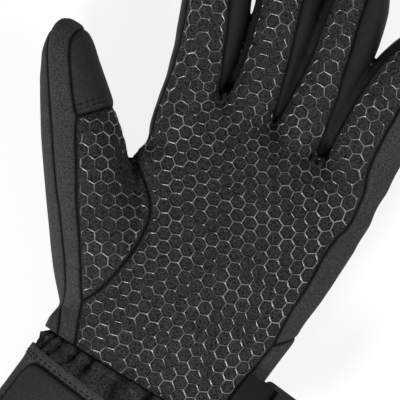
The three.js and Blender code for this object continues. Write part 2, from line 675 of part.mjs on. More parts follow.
const cuffWall = cuffTube(0).intersect(slab(0, TOP)).subtract(cuffTube(CUFF_WALL));
pieces.wrist_band = wristBand();
pieces.cuff_front = cuffWall.intersect(cuffFrontTool(0)).subtract(cuffHemTool(gap));
pieces.cuff_shell = cuffWall.subtract(cuffFrontTool(gap)).subtract(cuffHemTool(gap));
pieces.cuff_hem = cuffWall.intersect(cuffHemTool(0));

// The strap's frame: it runs parallel to the cuff, from the palm's right seam.
const STRAP_PLACE = [0, 0.156];
const strapShift = palmPoint(...STRAP_PLACE);
const WRIST_AT_STRAP = 0.22;
const strapRow = (column) => tableAt(PALM_ROWS, WRIST_AT_STRAP, column);

// A point beside the wrist: turned from straight up to the right, a distance off its surface.
function wristPoint(turnDegrees, away) {
  const turn = radians(turnDegrees);
  const halfWidth = (strapRow('right') - strapRow('left')) / 2 * PALM_WIDTH + away;
  const halfHeight = (strapRow('top') - strapRow('bottom')) / 2 * PALM_THICKNESS + away;
  const power = 2 / PALM_SQUARE;
  return [
    (strapRow('right') + strapRow('left')) / 2 * PALM_WIDTH
      + halfWidth * Math.sign(Math.sin(turn)) * Math.abs(Math.sin(turn)) ** power,
    (strapRow('top') + strapRow('bottom')) / 2 * PALM_THICKNESS
      + halfHeight * Math.sign(Math.cos(turn)) * Math.abs(Math.cos(turn)) ** power,
  ];
}

// A flat band along a path of [x, z] points, `width` wide along the hand.
function webbing(path, width) {
  const points = path.map(([x, z]) => new THREE.Vector2(x, z));
  const side = (way) => points.map((point, i) => {
    const before = points[Math.max(i - 1, 0)];
    const after = points[Math.min(i + 1, points.length - 1)];
    const into = point.clone().sub(before).normalize();
    const out = after.clone().sub(point).normalize();
    const along = into.add(out).normalize();
    return new THREE.Vector2(point.x - along.y * way, point.y + along.x * way);
  });
  const half = STRAP_THICKNESS / 2;
  const shape = new THREE.Shape([...side(half), ...side(-half).toReversed()]);
  const geometry = new THREE.ExtrudeGeometry(shape, { depth: width, bevelEnabled: false });
  geometry.rotateX(Math.PI / 2);
  geometry.translate(0, width / 2, 0);
  return geometry;
}

function placeStrap(geometry) {
  geometry.rotateZ(radians(CUFF_TURN));
  geometry.translate(strapShift[0], strapShift[1], 0);
  return solid(geometry);
}

const WEB_OFF = STRAP_CLEARANCE + STRAP_THICKNESS / 2;
const BUCKLE_INNER = wristPoint(78, STRAP_CLEARANCE)[0];
const BUCKLE_LEVEL = wristPoint(76, 0)[1];
const TAB_SLOT_AT = BUCKLE_INNER + INNER_BAR;
const STRAP_SLOT_AT = TAB_SLOT_AT + TAB_SLOT + MIDDLE_BAR;
const OUTER_BAR_AT = STRAP_SLOT_AT + STRAP_SLOT;

function roundedRectangle(x0, x1, y0, y1, corner) {
  const path = new THREE.Shape();
  path.absarc(x1 - corner, y1 - corner, corner, 0, Math.PI / 2);
  path.absarc(x0 + corner, y1 - corner, corner, Math.PI / 2, Math.PI);
  path.absarc(x0 + corner, y0 + corner, corner, Math.PI, 1.5 * Math.PI);
  path.absarc(x1 - corner, y0 + corner, corner, 1.5 * Math.PI, 2 * Math.PI);
  return path;
}

function buckle() {
  const reach = STRAP_WIDTH / 2 + STRAP_CLEARANCE;
  const plate = roundedRectangle(BUCKLE_INNER, OUTER_BAR_AT + OUTER_BAR,
    -reach - BUCKLE_MARGIN, reach + BUCKLE_MARGIN, BUCKLE_CORNER);
  plate.holes = [
    roundedRectangle(TAB_SLOT_AT, TAB_SLOT_AT + TAB_SLOT, -reach, reach, SLOT_CORNER),
    roundedRectangle(STRAP_SLOT_AT, STRAP_SLOT_AT + STRAP_SLOT, -reach, reach, SLOT_CORNER),
  ];
  const geometry = new THREE.ExtrudeGeometry(plate, {
    depth: BUCKLE_THICKNESS, curveSegments: 3, bevelEnabled: false,
  });
  geometry.translate(0, 0, BUCKLE_LEVEL - BUCKLE_THICKNESS / 2);
  return placeStrap(geometry);
}

// Loop a web round a bar of the buckle: points on an arc about the bar, clear of its corners.
function roundBar(middle, halfBar, from, to) {
  const reach = Math.hypot(halfBar, BUCKLE_THICKNESS / 2) + WEB_OFF + 0.15;
  return [0, 0.25, 0.5, 0.75, 1].map((step) => {
    const turn = radians(THREE.MathUtils.lerp(from, to, step));
    return [middle + reach * Math.sin(turn), BUCKLE_LEVEL + reach * Math.cos(turn)];
  });
}

pieces.buckle = buckle();
const TAB_TURNS = [48, 53, 58, 63];
pieces.strap_tab = placeStrap(webbing([
  ...TAB_TURNS.map((turn) => wristPoint(turn, WEB_OFF)),
  ...roundBar(TAB_SLOT_AT - 1, 1, 5, 175),
], STRAP_WIDTH));
const STRAP_TURNS = [180, 164, 152, 140, 128, 116];
const STRAP_END = -0.30;
const strapLoop = roundBar(OUTER_BAR_AT + OUTER_BAR / 2, OUTER_BAR / 2, -90, 150);
pieces.wrist_strap = placeStrap(webbing([
  [STRAP_END * PALM_WIDTH, wristPoint(180, WEB_OFF)[1]],
  ...STRAP_TURNS.map((turn) => wristPoint(turn, WEB_OFF)),
  [strapLoop[0][0] - 0.8, BUCKLE_LEVEL - 6],
  ...strapLoop,
], STRAP_WIDTH));

// Colours and finishes
const finish = (color, roughness) => new THREE.MeshStandardMaterial({ color, roughness, metalness: 0 });
const FINISHES = {
  grip: finish(0x2d2d2b, 0.75),
  softshell: finish(0x3b3b3a, 0.85),
  plain: finish(0x333333, 0.85),
  elastic: finish(0x1c1c1c, 0.9),
  webbing: finish(0x242424, 0.85),
  plastic: finish(0x161616, 0.35),
};
const FINISH_OF = {
  palm_panel: 'grip', thumb_panel: 'grip', thumb_cap: 'plain', wrist_band: 'elastic',
  strap_tab: 'webbing', wrist_strap: 'webbing', buckle: 'plastic',
};

// The whole glove, with its origin under the middle of its box.
const hand = new THREE.Group();
for (const [name, body] of Object.entries(pieces)) {
  const mesh = new THREE.Mesh(geometryOf(body), FINISHES[FINISH_OF[name] ?? 'softshell']);
  mesh.name = name;
  hand.add(mesh);
}
const box = new THREE.Box3().setFromObject(hand);
const middle = box.getCenter(new THREE.Vector3());
hand.position.set(-middle.x, -middle.y, -box.min.z);
const glove = new THREE.Group();
glove.add(hand);

export default glove;
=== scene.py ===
# A padded winter glove for the left hand, lying on its back with the palm up.
# Metres. X runs to the little finger's side, Y to the fingertips, Z up.
import math

import bmesh
import bpy
import numpy as np
from mathutils import Matrix, Vector, bvhtree, interpolate, kdtree, noise


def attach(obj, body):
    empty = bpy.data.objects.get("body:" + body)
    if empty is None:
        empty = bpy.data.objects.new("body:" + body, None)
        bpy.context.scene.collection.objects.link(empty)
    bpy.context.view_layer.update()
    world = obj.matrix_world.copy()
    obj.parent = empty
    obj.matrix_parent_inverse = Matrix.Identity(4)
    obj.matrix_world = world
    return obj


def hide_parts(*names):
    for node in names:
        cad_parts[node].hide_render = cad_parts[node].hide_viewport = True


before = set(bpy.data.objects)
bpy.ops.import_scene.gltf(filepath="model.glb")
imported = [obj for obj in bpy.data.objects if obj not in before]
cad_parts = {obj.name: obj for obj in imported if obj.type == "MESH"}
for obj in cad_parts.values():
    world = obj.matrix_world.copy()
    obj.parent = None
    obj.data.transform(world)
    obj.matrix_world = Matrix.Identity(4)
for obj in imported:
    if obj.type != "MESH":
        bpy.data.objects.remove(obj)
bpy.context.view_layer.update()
scene = bpy.context.scene

# Camera: straight above the palm, turned so that the hand leans to the right of the picture.
# A long lens from 1.4 m keeps the fingers and the cuff almost free of perspective.
HAND_LEAN = math.radians(28)
PICTURE_WIDTH = 0.1667
PICTURE_MIDDLE = (0.0035, 0.0224)
PALM_LEVEL = 0.026
CAMERA_RISE = 1.4
eye = bpy.data.cameras.new("eye")
eye.sensor_width = 36
eye.lens = eye.sensor_width * CAMERA_RISE / PICTURE_WIDTH
camera = bpy.data.objects.new("camera", eye)
camera.location = (*PICTURE_MIDDLE, PALM_LEVEL + CAMERA_RISE)
camera.rotation_euler = (0, 0, HAND_LEAN)
scene.collection.objects.link(camera)
scene.camera = camera

# Floor and light: a pale sheet under even studio light.
# The key light stands low beyond the wrist, and a weaker one on the little finger's side.
FLOOR_SIZE = 3
FLOOR_COLOUR = (0.12, 0.12, 0.12, 1)
FLOOR_GLOW = 0.86
FLOOR_DROP = -0.0002
WORLD_LIGHT = 0.3
floor_mesh = bpy.data.meshes.new("floor")
form = bmesh.new()
bmesh.ops.create_grid(form, x_segments=1, y_segments=1, size=FLOOR_SIZE)
bmesh.ops.translate(form, verts=form.verts, vec=(0, 0, FLOOR_DROP))
form.to_mesh(floor_mesh)
form.free()
floor = bpy.data.objects.new("floor", floor_mesh)
scene.collection.objects.link(floor)
paper = bpy.data.materials.new("paper")
paper.use_nodes = True
paper_shader = paper.node_tree.nodes["Principled BSDF"]
paper_shader.inputs["Base Color"].default_value = FLOOR_COLOUR
paper_shader.inputs["Roughness"].default_value = 0.9
paper_shader.inputs["Specular IOR Level"].default_value = 0
paper_shader.inputs["Emission Color"].default_value = (1, 1, 1, 1)
paper_shader.inputs["Emission Strength"].default_value = FLOOR_GLOW
floor_mesh.materials.append(paper)

scene.view_settings.view_transform = "Standard"
world = bpy.data.worlds.new("studio")
world.use_nodes = True
world.node_tree.nodes["Background"].inputs["Color"].default_value = (1, 1, 1, 1)
world.node_tree.nodes["Background"].inputs["Strength"].default_value = WORLD_LIGHT
scene.world = world


def soft_box(name, place, size, watts):
    """A square lamp that faces the glove."""
    lamp = bpy.data.lights.new(name, "AREA")
    lamp.shape = "SQUARE"
    lamp.size = size
    lamp.energy = watts
    lamp_object = bpy.data.objects.new(name, lamp)
    lamp_object.location = place
    lamp_object.rotation_euler = (-Vector(place)).to_track_quat("-Z", "Y").to_euler()
    scene.collection.objects.link(lamp_object)


soft_box("key_light", place=(-0.35, -1.5, 0.95), size=0.4, watts=45)
soft_box("side_light", place=(1.3, 0.5, 1.1), size=0.9, watts=15)

# The hand's skin: one unbroken padded surface over all the panels of the palm, the back, the
# fingers and the thumb. The panels are cut from softshell and knitted cloth, sewn inside out and
# turned, so each one swells between its seams and dips where it is sewn to its neighbours.
HAND_PANELS = [
    "palm_panel", "thumb_panel", "thumb_cap", "thumb_gusset", "index_side",
    "fourchette_index_middle", "fourchette_middle_ring", "fourchette_ring_little",
    "outer_side_panel", "wrist_side", "back_panel",
]
HAND_ORIGIN = Vector((0.021637, -0.057718, 0))
PALM_HEM_TURN = math.radians(-3)
HAND_TRIM = 0.0007
SKIN_VOXEL = 0.00086
SEAM_CLOSE = 0.00025
OWN_VOTE = 1.5
SETTLING = 6


def merged_copy(name):
    """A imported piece's surface, with its doubled points merged."""
    copy = bmesh.new()
    copy.from_mesh(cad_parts[name].data)
    bmesh.ops.remove_doubles(copy, verts=copy.verts, dist=1e-6)
    copy.normal_update()
    return copy


def points_of(mesh):
    flat = np.empty(len(mesh.vertices) * 3)
    mesh.vertices.foreach_get("co", flat)
    return flat.reshape(-1, 3)


def normals_of(mesh):
    flat = np.empty(len(mesh.vertices) * 3)
    mesh.vertices.foreach_get("normal", flat)
    return flat.reshape(-1, 3)


def edges_of(mesh):
    flat = np.empty(len(mesh.edges) * 2, np.int64)
    mesh.edges.foreach_get("vertices", flat)
    return flat.reshape(-1, 2)


def move_points(mesh, points):
    mesh.vertices.foreach_set("co", points.ravel())
    mesh.update()


def tree_of(points, mesh):
    """The mesh's faces, with their corners at these points, ready for a search."""
    return bvhtree.BVHTree.FromPolygons(
        points.tolist(), [tuple(polygon.vertices) for polygon in mesh.polygons])


def relaxed(points, edges, rounds, held=None):
    """Points drawn half way to the middle of their neighbours, apart from those that are held."""
    count = np.bincount(edges.ravel(), minlength=len(points))
    free = count > 0 if held is None else (count > 0) & ~held
    for _ in range(rounds):
        total = np.empty_like(points)
        for axis in range(3):
            value = points[:, axis]
            total[:, axis] = (
                np.bincount(edges[:, 0], value[edges[:, 1]], len(points))
                + np.bincount(edges[:, 1], value[edges[:, 0]], len(points))
            )
        middle = total[free] / count[free, None]
        points[free] += (middle - points[free]) / 2
    return points


def closed_skin(names, voxel):
    """The panels, grown until they meet, as one evenly meshed surface."""
    joined = bmesh.new()
    for name in names:
        panel = merged_copy(name)
        for vert, normal in [(vert, vert.normal.copy()) for vert in panel.verts]:
            vert.co += normal * SEAM_CLOSE
        grown = bpy.data.meshes.new("grown")
        panel.to_mesh(grown)
        panel.free()
        joined.from_mesh(grown)
        bpy.data.meshes.remove(grown)
    mesh = bpy.data.meshes.new("skin")
    joined.to_mesh(mesh)
    joined.free()
    holder = bpy.data.objects.new("skin", mesh)
    scene.collection.objects.link(holder)
    remesh = holder.modifiers.new("remesh", "REMESH")
    remesh.mode = "VOXEL"
    remesh.voxel_size = voxel
    remeshed = holder.evaluated_get(bpy.context.evaluated_depsgraph_get())
    skin = bpy.data.meshes.new_from_object(remeshed)
    bpy.data.objects.remove(holder)
    bpy.data.meshes.remove(mesh)
    return skin


def outside_of(skin, cuts):
    """The skin trimmed at its open ends, without the surface that lines its hollow."""
    form = bmesh.new()
    form.from_mesh(skin)
    for place, way in cuts:
        bmesh.ops.bisect_plane(
            form, geom=form.verts[:] + form.edges[:] + form.faces[:],
            plane_co=place, plane_no=way, clear_outer=True)
    form.to_mesh(skin)
    form.free()

    # From the highest point, reach every point that is joined to it.
    points, edges = points_of(skin), edges_of(skin)
    reached = np.zeros(len(points), bool)
    reached[points[:, 2].argmax()] = True
    found = 0
    while reached.sum() > found:
        found = reached.sum()
        touched = reached[edges].any(axis=1)
        reached[edges[touched].ravel()] = True
    form = bmesh.new()
    form.from_mesh(skin)
    form.verts.ensure_lookup_table()
    bmesh.ops.delete(
        form, geom=[form.verts[i] for i in np.flatnonzero(~reached)], context="VERTS")
    form.to_mesh(skin)
    form.free()
    return skin


def nearest_panels(skin, names):
    """For each face, the number of the panel whose solid lies nearest."""
    corners, triangles, owner = [], [], []
    for number, name in enumerate(names):
        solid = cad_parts[name].data
        start = len(corners)
        corners.extend(vertex.co.copy() for vertex in solid.vertices)
        for polygon in solid.polygons:
            triangles.append([start + i for i in polygon.vertices])
            owner.append(number)
    tree = bvhtree.BVHTree.FromPolygons(corners, triangles)
    return np.array([owner[tree.find_nearest(face.center)[2]] for face in skin.polygons])


def face_edges_of(skin):
    """For each edge between two faces: its number and the two faces' numbers."""
    loop_edges = np.empty(len(skin.loops), np.int64)
    skin.loops.foreach_get("edge_index", loop_edges)
    sides = np.empty(len(skin.polygons), np.int64)
    skin.polygons.foreach_get("loop_total", sides)
    loop_faces = np.repeat(np.arange(len(sides)), sides)
    order = np.argsort(loop_edges, kind="stable")
    edge, face = loop_edges[order], loop_faces[order]
    pair = np.flatnonzero(edge[1:] == edge[:-1])
    return edge[pair], face[pair], face[pair + 1]


def settled(labels, face_a, face_b):
    """Labels with stray faces given to the neighbours that outnumber them."""
    for _ in range(SETTLING):
        votes = np.zeros((len(labels), labels.max() + 1))
        votes[np.arange(len(labels)), labels] = OWN_VOTE
        for one, other in ((face_a, face_b), (face_b, face_a)):
            np.add.at(votes, (one, labels[other]), 1)
        labels = votes.argmax(axis=1)
    return labels


def way_from(start, points):
    """The way from each point to the nearest of the starting points."""
    tree = kdtree.KDTree(int(start.sum()))
    for number in np.flatnonzero(start):
        tree.insert(points[number], number)
    tree.balance()
    return np.array([tree.find(point)[2] for point in points])


# Rounds of the smoothing. Then the padding's reaches and the noise's scales: the dip at a seam,
# the short puckers beside it, the slack of the cloth, and one crumpled place.
SEAM_SMOOTHING = 90
FOLLOWING = 24
DIP_REACH = 0.0010
SWELL_BELOW = 0.6
PUCKER_SCALE = 150
SLACK_SCALE = 38
CRUMPLE_SCALE = 380
CRUMPLE_DEPTH = 0.0020
CRUMPLE_REACH = 0.0080
CRUMPLE_LEAST = 0.02


def sewn_skin(names, cuts, smoothing, dip, swell, swell_reach, pucker, slack, grow,
              crumpled=(0, 0, 1), tailored=None):
    """Padded cloth over a group of panels, marked with each face's panel."""
    skin = outside_of(closed_skin(names, SKIN_VOXEL), cuts)
    inner_edge, face_a, face_b = face_edges_of(skin)
    labels = nearest_panels(skin, names)
    edges, points = edges_of(skin), points_of(skin)
    if tailored:
        labels, points = tailored(skin, labels, points, edges)
    labels = settled(labels, face_a, face_b)
    at_end = np.zeros(len(points), bool)
    at_end[edges[np.setdiff1d(np.arange(len(edges)), inner_edge)].ravel()] = True
    points = relaxed(points, edges, smoothing, at_end)

    # Draw each seam out into an even line, then let the cloth beside it follow.
    sewn = edges[inner_edge[labels[face_a] != labels[face_b]]]
    on_seam = np.zeros(len(points), bool)
    on_seam[sewn.ravel()] = True
    surface = tree_of(points, skin)
    points = relaxed(points, sewn, SEAM_SMOOTHING, at_end)
    points = relaxed(points, edges, FOLLOWING, at_end | on_seam)
    points = np.array([surface.find_nearest(point)[0] for point in points])
    move_points(skin, points)

    # Pad it: a narrow dip along each seam, a swell between seams, and gathered slack.
    from_seam = way_from(on_seam, points)
    normals = normals_of(skin)
    lift = grow + swell * (1 - np.exp(-from_seam / swell_reach)) - swell * SWELL_BELOW
    lift -= dip * np.exp(-((from_seam / DIP_REACH) ** 2))
    near_seam = np.exp(-from_seam / swell_reach) * (1 - np.exp(-from_seam / DIP_REACH))
    crumple = np.exp(-(np.linalg.norm(points - crumpled, axis=1) / CRUMPLE_REACH) ** 2)
    for i, point in enumerate(points):
        place = Vector(point)
        lift[i] += pucker * near_seam[i] * noise.noise(place * PUCKER_SCALE)
        lift[i] += slack * noise.noise(place * SLACK_SCALE)
        if crumple[i] > CRUMPLE_LEAST:
            lift[i] += CRUMPLE_DEPTH * crumple[i] * noise.noise(place * CRUMPLE_SCALE)
    points = points + normals * lift[:, None]
    points[:, 2] = np.maximum(points[:, 2], 0)
    move_points(skin, points)
    skin.attributes.new("panel", "INT", "FACE").data.foreach_set("value", labels.astype(np.int32))
    skin.attributes.new("from_seam", "FLOAT", "POINT").data.foreach_set("value", from_seam)
    return skin


# The thumb's root, lean, length and width in the pattern. The side strip is drawn over its tip
# from TIP_TURNED of its length on. The tip's outline is measured in the slots of a fan, which
# spans FAN radians to each side.
THUMB_ROOT = Vector((-0.01453, -0.02270, 0))
THUMB_TURN = math.radians(39.5)
THUMB_LENGTH = 0.1093
THUMB_WIDTH = 0.0276
THUMB_WAY = np.array((-math.sin(THUMB_TURN), math.cos(THUMB_TURN), 0))
THUMB_OUT = np.array((math.cos(THUMB_TURN), math.sin(THUMB_TURN), 0))
TIP_TURNED = 0.937
TIP_REACH = 0.016
TIP_BEYOND = 1.4
FAN = 1.7
FAN_FADE = 0.4
FAN_STEPS = 69
SLOT = 0.03
NOTCH = 6
EVENING = 3
STILL_INSIDE = 0.35

# Places seen from above where the panels meet in a step, each with its reach; and places where
# the outline is drawn over, each with its move and its reach.
EASING = 90
EASED = ((-0.0284, 0.0399, 0.009), (0.0660, -0.0090, 0.012), (0.0617, 0.0382, 0.010))
PULLED = (
    ((-0.0222, 0.0220), (-0.0048, 0.0030), 0.0085),
    ((-0.0279, -0.0500), (-0.0024, 0.0002), 0.0065),
    ((0.0712, 0.0593), (0.0017, 0.0), 0.0090),
    ((0.0661, -0.0127), (0.0016, 0.0), 0.0060),
)
CRUMPLED = np.array((-0.0265, 0.0215, 0.022))


def windowed(values, choose):
    """Each value replaced by the one chosen from its neighbourhood."""
    wide = np.pad(values, NOTCH, mode="edge")
    return np.array([choose(wide[i:i + 2 * NOTCH + 1]) for i in range(len(values))])


def hand_tailored(skin, labels, points, edges):
    """The side strip drawn over the thumb's tip, and the hand's outline eased and pulled."""
    gusset, cap = HAND_PANELS.index("thumb_gusset"), HAND_PANELS.index("thumb_cap")
    centres = np.array([tuple(face.center) for face in skin.polygons]) - np.array(THUMB_ROOT)
    labels[(labels == cap) & (centres @ THUMB_WAY > THUMB_LENGTH * TIP_TURNED)] = gusset
    for x, y, reach in EASED:
        away = np.hypot(points[:, 0] - x, points[:, 1] - y) > reach
        points = relaxed(points, edges, EASING, away)

    # Close the notches in the thumb tip's outline, seen from above.
    middle = np.array(THUMB_ROOT) + THUMB_WAY * (THUMB_LENGTH - TIP_REACH)
    along, out = (points - middle) @ THUMB_WAY, (points - middle) @ THUMB_OUT
    span = np.hypot(along, out)
    turn = np.arctan2(out, along)
    at_tip = (span < TIP_REACH * TIP_BEYOND) & (np.abs(turn) < FAN)
    steps = np.linspace(-FAN, FAN, FAN_STEPS)
    outline = np.array([span[at_tip & (np.abs(turn - step) < SLOT)].max() for step in steps])
    closed = windowed(windowed(outline, np.max), np.min)
    even = 2 * EVENING + 1
    closed = np.convolve(np.pad(closed, EVENING, mode="edge"), np.ones(even) / even, "valid")
    stretch = np.interp(turn, steps, np.maximum(closed / outline, 1)) - 1
    outer = (span / np.interp(turn, steps, outline) - STILL_INSIDE) / (1 - STILL_INSIDE)
    inside_fan = np.clip((FAN - np.abs(turn)) / FAN_FADE, 0, 1)
    push = np.where(at_tip, stretch * np.clip(outer, 0, 1) * inside_fan, 0)
    points = points + push[:, None] * (along[:, None] * THUMB_WAY + out[:, None] * THUMB_OUT)
    for place, pull, reach in PULLED:
        near = np.hypot(points[:, 0] - place[0], points[:, 1] - place[1]) / reach
        points[:, :2] += np.exp(-near ** 2)[:, None] * pull
    return labels, points


wrist_way = Vector((math.sin(PALM_HEM_TURN), -math.cos(PALM_HEM_TURN), 0))
hand_skin = sewn_skin(
    HAND_PANELS, [(HAND_ORIGIN - wrist_way * HAND_TRIM, wrist_way)],
    smoothing=40, dip=0.0004, swell=0.0006, swell_reach=0.006, pucker=0.0004, slack=0.0006,
    grow=0.0006, crumpled=CRUMPLED, tailored=hand_tailored)

# The hand's panels: each is cut out of the skin along its seams and gets its own thickness of
# cloth. The grip panels are knitted, the touch patch is plain, and the rest is softshell.
PANEL_WALL = 0.0022
# Painted shade in the groove of each seam: the distances from the seam at which it is darkest and
# at which it ends, and its darkest share.
PAINTED_SEAM_SHADE = (0.0002, 0.0013, 0.1)
KNIT_RELIEF = 0.6


def placed(name, mesh):
    """A smooth mesh as a new object of the glove."""
    mesh.shade_smooth()
    piece = bpy.data.objects.new(name, mesh)
    scene.collection.objects.link(piece)
    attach(piece, "root")
    return piece


def cut_panel(name, skin, names):
    """One panel cut out of a skin, as padded cloth in place of its solid."""
    form = bmesh.new()
    form.from_mesh(skin)
    panel = form.faces.layers.int["panel"]
    others = [face for face in form.faces if face[panel] != names.index(name)]
    bmesh.ops.delete(form, geom=others, context="FACES")
    mesh = bpy.data.meshes.new(name + "_cloth")
    form.to_mesh(mesh)
    form.free()
    piece = placed(name + "_cloth", mesh)
    wall = piece.modifiers.new("wall", "SOLIDIFY")
    wall.thickness = PANEL_WALL
    wall.offset = -1
    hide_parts(name)
    return piece


def shaded(name, roughness, specular=0.12):
    """A new material, its node tree, its shader and its object coordinates."""
    material = bpy.data.materials.new(name)
    material.use_nodes = True
    tree = material.node_tree
    shader = tree.nodes["Principled BSDF"]
    shader.inputs["Roughness"].default_value = roughness
    shader.inputs["Specular IOR Level"].default_value = specular
    return material, tree, shader, tree.nodes.new("ShaderNodeTexCoord").outputs["Object"]


def speckled(tree, place, scale, detail=2, roughness=0.5):
    """Noise of a scale, such as a cloth's mottle or a moulding's grain."""
    speckle = tree.nodes.new("ShaderNodeTexNoise")
    speckle.inputs["Scale"].default_value = scale
    speckle.inputs["Detail"].default_value = detail
    speckle.inputs["Roughness"].default_value = roughness
    tree.links.new(place, speckle.inputs["Vector"])
    return speckle.outputs["Fac"]


def toned(tree, value, dark, light, dark_at=0.0, light_at=1.0):
    """A colour that runs from a dark to a light tone with a value."""
    ramp = tree.nodes.new("ShaderNodeValToRGB")
    low, high = ramp.color_ramp.elements
    low.position, low.color = dark_at, (*dark, 1)
    high.position, high.color = light_at, (*light, 1)
    tree.links.new(value, ramp.inputs["Fac"])
    return ramp.outputs["Color"]


def with_painted_shade(tree, colour, attribute, low, high, darkest):
    """A colour with painted shade: darkest where the mesh's attribute is low."""
    measure = tree.nodes.new("ShaderNodeAttribute")
    measure.attribute_name = attribute
    shade = tree.nodes.new("ShaderNodeMapRange")
    shade.inputs["From Min"].default_value = low
    shade.inputs["From Max"].default_value = high
    shade.inputs["To Min"].default_value = darkest
    tree.links.new(measure.outputs["Fac"], shade.inputs["Value"])
    product = tree.nodes.new("ShaderNodeMix")
    product.data_type = "RGBA"
    product.blend_type = "MULTIPLY"
    product.inputs["Factor"].default_value = 1
    tree.links.new(colour, product.inputs["A"])
    tree.links.new(shade.outputs["Result"], product.inputs["B"])
    return product.outputs["Result"]


def raised(tree, shader, height, strength, distance):
    """The shader's surface, raised by a value."""
    relief = tree.nodes.new("ShaderNodeBump")
    relief.inputs["Strength"].default_value = strength
    relief.inputs["Distance"].default_value = distance
    tree.links.new(height, relief.inputs["Height"])
    tree.links.new(relief.outputs["Normal"], shader.inputs["Normal"])


def fabric(name, dark, light, grain, roughness, knit, depth, seams=True):
    """Matte cloth: a mottled colour between two tones, a fine knitted relief, and painted shade
    along the grooves of its seams.
    """
    material, tree, shader, place = shaded(name, roughness)
    mottle = speckled(tree, place, grain, detail=4, roughness=0.6)
    colour = toned(tree, mottle, dark, light, dark_at=0.38, light_at=0.62)
    # Painted shade darkens the colour near each seam.
    if seams:
        colour = with_painted_shade(tree, colour, "from_seam", *PAINTED_SEAM_SHADE)
    tree.links.new(colour, shader.inputs["Base Color"])
    stitch = tree.nodes.new("ShaderNodeTexVoronoi")
    stitch.inputs["Scale"].default_value = knit
    tree.links.new(place, stitch.inputs["Vector"])
    raised(tree, shader, stitch.outputs["Distance"], KNIT_RELIEF, depth)
    return material


grip_cloth = fabric(
    "grip_cloth", dark=(0.001, 0.001, 0.001), light=(0.040, 0.040, 0.037), grain=1500,
    roughness=0.85, knit=1500, depth=0.0002)
touch_cloth = fabric(
    "touch_cloth", dark=(0.012, 0.012, 0.012), light=(0.034, 0.034, 0.034), grain=2300,
    roughness=0.8, knit=2200, depth=0.0001)
softshell = fabric(
    "softshell", dark=(0.010, 0.010, 0.010), light=(0.056, 0.056, 0.054), grain=2000,
    roughness=0.85, knit=2600, depth=0.0001)
# The fingers' side strips are softshell, painted much darker with the deep shade that falls on the
# fingers' sides.
shade_darkened_softshell = fabric(
    "shade_darkened_softshell", dark=(0.005, 0.005, 0.005), light=(0.015, 0.015, 0.015), grain=2000,
    roughness=0.55, knit=2600, depth=0.0001)
PANEL_CLOTHS = {
    "palm_panel": (grip_cloth, "grip_fabric"),
    "thumb_panel": (grip_cloth, "grip_fabric"),
    "thumb_cap": (touch_cloth, "plain_fabric"),
    "thumb_gusset": (softshell, "softshell"),
    "index_side": (shade_darkened_softshell, "softshell"),
    "fourchette_index_middle": (shade_darkened_softshell, "softshell"),
    "fourchette_middle_ring": (shade_darkened_softshell, "softshell"),
    "fourchette_ring_little": (shade_darkened_softshell, "softshell"),
    "outer_side_panel": (softshell, "softshell"),
    "wrist_side": (softshell, "softshell"),
    "back_panel": (softshell, "softshell"),
}
panels = {}
for name, (cloth, slot) in PANEL_CLOTHS.items():
    panels[name] = cut_panel(name, hand_skin, HAND_PANELS)
    panels[name].data.materials.append(cloth)

# The grip: raised lines of silicone printed on the palm's and the thumb's knitted cloth, in a
# honeycomb. The cloth was printed flat, so each panel is laid flat, the lines are drawn on it,
# and every point of a line is carried back to its place on the sewn panel.
CELL = 0.00575
LINE_WIDTH = 0.00092
LINE_STEP = LINE_WIDTH / 4
LINE_HEIGHT = 0.00036
LINE_SIDES = (0.7, -0.3)
LINE_SUNK = 0.00022
LINE_CUTS = 2
SEAM_MARGIN = 0.0012
BARE = 0.0075
SCRAP = 40
# Below LINE_CREST of its height, a line's colour is darkened: painted shadow at its foot beside the
# ridge.
LINE_CREST = 0.62
LINE_FOOT_PAINTED_SHADOW = 0.03
UP = Vector((0, 0, 1))


def laid_flat(piece, centre, reach):
    """The panel's points laid flat at their real size, upright and around a centre on the panel."""
    mesh = piece.data
    bpy.context.view_layer.objects.active = piece
    piece.select_set(True)
    mesh.uv_layers.new(name="flat")
    bpy.ops.object.mode_set(mode="EDIT")
    bpy.ops.mesh.select_all(action="SELECT")
    bpy.ops.uv.unwrap(method="MINIMUM_STRETCH", margin=0)
    bpy.ops.object.mode_set(mode="OBJECT")
    piece.select_set(False)
    flat = np.empty(len(mesh.loops) * 2)
    mesh.uv_layers["flat"].data.foreach_get("uv", flat)
    corner = np.empty(len(mesh.loops), np.int64)
    mesh.loops.foreach_get("vertex_index", corner)
    laid = np.zeros((len(mesh.vertices), 2))
    laid[corner] = flat.reshape(-1, 2)

    # Turn and scale the flat points so that those near the centre keep their place.
    points = points_of(mesh)[:, :2]
    near = np.linalg.norm(points - centre, axis=1) < reach
    real = points[near] - points[near].mean(axis=0)
    drawn = laid[near] - laid[near].mean(axis=0)
    left, _, right = np.linalg.svd(drawn.T @ real)
    scale = np.sqrt((real ** 2).sum() / (drawn ** 2).sum())
    laid = (laid - laid[near].mean(axis=0)) @ (left @ right) * scale
    return laid + points[near].mean(axis=0) - centre


def honeycomb(half_width, half_length, turn):
    """Flat cells that cover a rectangle, turned about its middle."""
    form = bmesh.new()
    radius = CELL / math.sqrt(3)
    pitch = 1.5 * radius
    for row in range(-int(half_length / pitch) - 1, int(half_length / pitch) + 2):
        for column in range(-int(half_width / CELL) - 1, int(half_width / CELL) + 2):
            place = Vector(((column + 0.5 * (row % 2)) * CELL, row * pitch, 0))
            bmesh.ops.create_circle(
                form, cap_ends=True, radius=radius, segments=6, matrix=Matrix.Translation(place))
    bmesh.ops.remove_doubles(form, verts=form.verts, dist=CELL / 50)
    bmesh.ops.rotate(form, verts=form.verts, matrix=Matrix.Rotation(turn, 3, "Z"))
    return form


